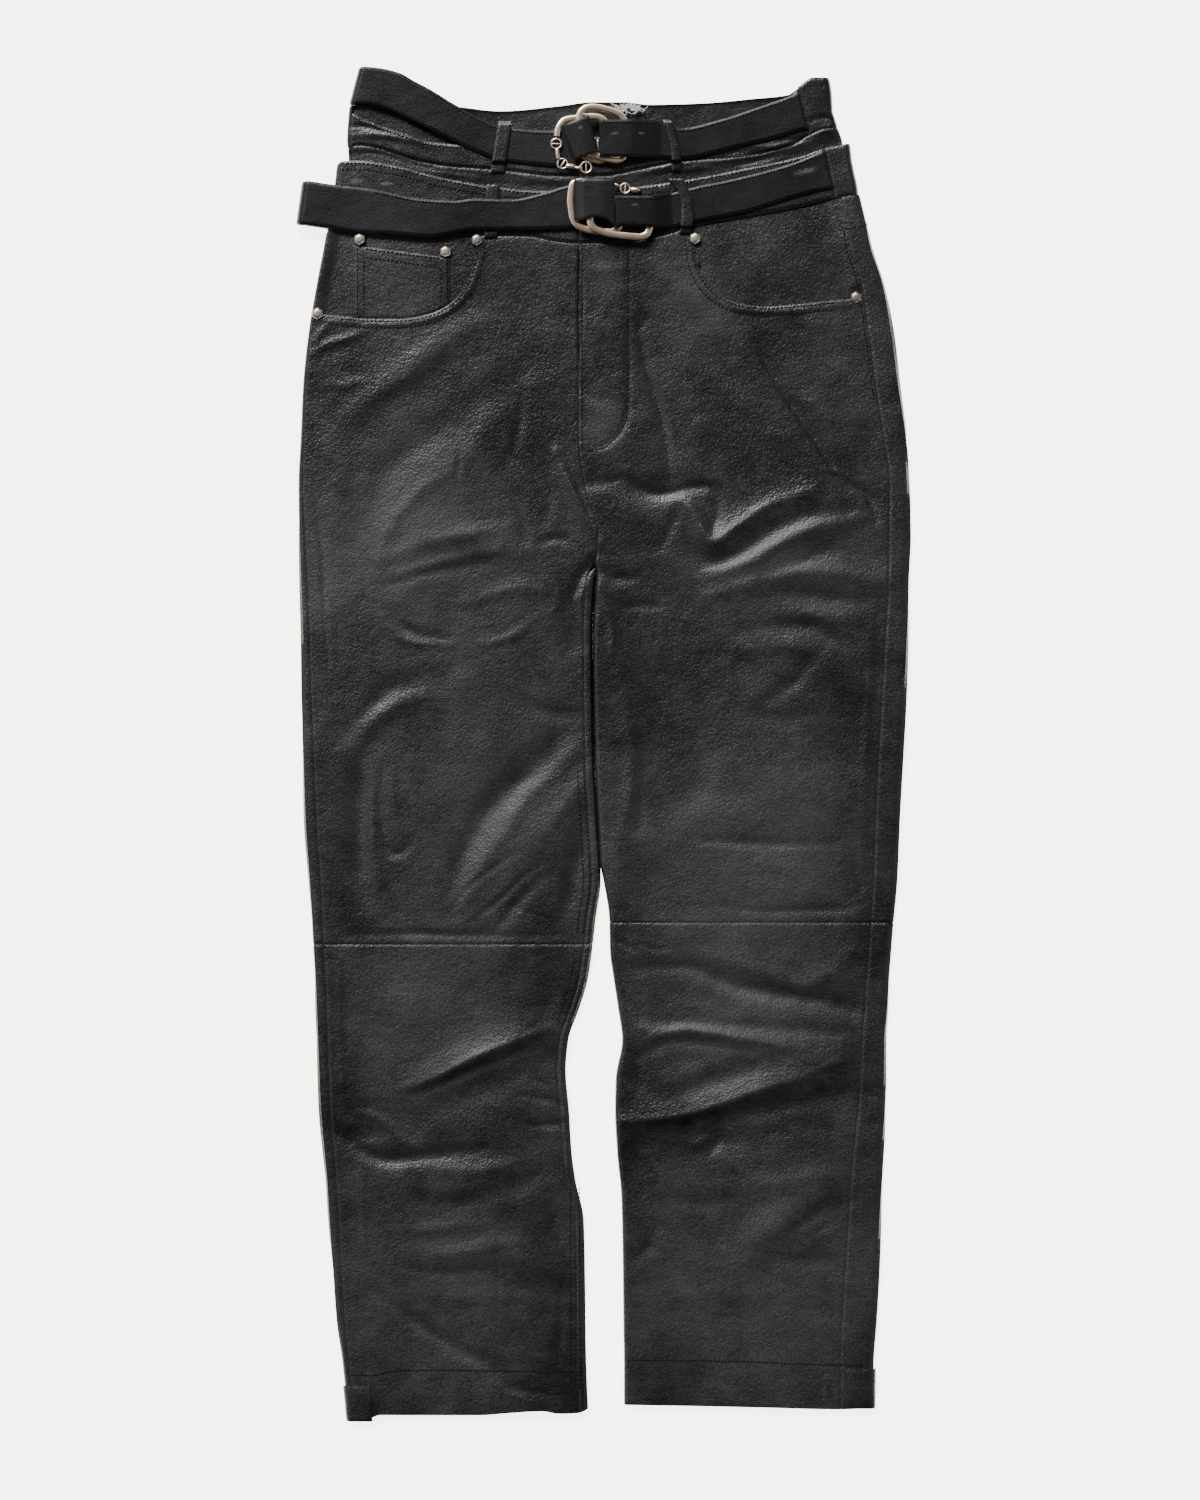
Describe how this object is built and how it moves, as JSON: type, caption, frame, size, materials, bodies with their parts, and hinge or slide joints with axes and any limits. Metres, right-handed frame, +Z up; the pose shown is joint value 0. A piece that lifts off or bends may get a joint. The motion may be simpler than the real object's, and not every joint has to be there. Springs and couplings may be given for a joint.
{
  "type": "leather trousers",
  "caption": "Straight-leg leather trousers laid flat, with a doubled waistband, two buckled belts, scooped pockets, a coin pocket, rivets and seamed knees.",
  "frame": {"origin": "centre of the bounding box in X and Y, on the surface that the trousers lie on", "axes": "+Y runs from the hems to the waist, +X to the right of the picture, +Z up from the surface, front of the trousers upwards"},
  "size_m": [0.4801, 1.0559, 0.0214],
  "materials": {
    "leather": "soft semi-gloss, black, fine grain",
    "belt_leather": "smooth satin, black",
    "buckle_metal": "polished pale gold",
    "rivet_metal": "brushed, aged"
  },
  "bodies": {
    "root": {"belt_loop_lower_left": "leather", "belt_loop_lower_right": "leather", "belt_loop_upper_left": "leather", "belt_loop_upper_right": "leather", "belt_lower_left": "belt_leather", "belt_lower_right": "belt_leather", "belt_lower_turn": "belt_leather", "belt_upper_left": "belt_leather", "belt_upper_right": "belt_leather", "belt_upper_turn": "belt_leather", "buckle_frame_lower_left": "buckle_metal", "buckle_frame_lower_right": "buckle_metal", "buckle_frame_upper_left": "buckle_metal", "buckle_frame_upper_right": "buckle_metal", "chain_lower": "buckle_metal", "chain_upper": "buckle_metal", "coin_pocket": "leather", "fly_facing": "leather", "hem_tab_left": "leather", "hem_tab_right": "leather", "pocket_facing_left": "leather", "pocket_facing_right": "leather", "rivet_coin_left": "rivet_metal", "rivet_coin_right": "rivet_metal", "rivet_scoop_left_side": "rivet_metal", "rivet_scoop_left_top": "rivet_metal", "rivet_scoop_right_side": "rivet_metal", "rivet_scoop_right_top": "rivet_metal", "shin_back_left": "leather", "shin_back_right": "leather", "shin_front_left": "leather", "shin_front_right": "leather", "thigh_back_left": "leather", "thigh_back_right": "leather", "thigh_front_left": "leather", "thigh_front_right": "leather", "waistband_lower_back": "leather", "waistband_lower_front_left": "leather", "waistband_lower_front_right": "leather", "waistband_lower_side": "leather", "waistband_upper_back": "leather", "waistband_upper_front_left": "leather", "waistband_upper_front_right": "leather", "waistband_upper_side": "leather", "yoke_back": "leather", "yoke_front_left": "leather", "yoke_front_right": "leather"}
  },
  "joints": []
}
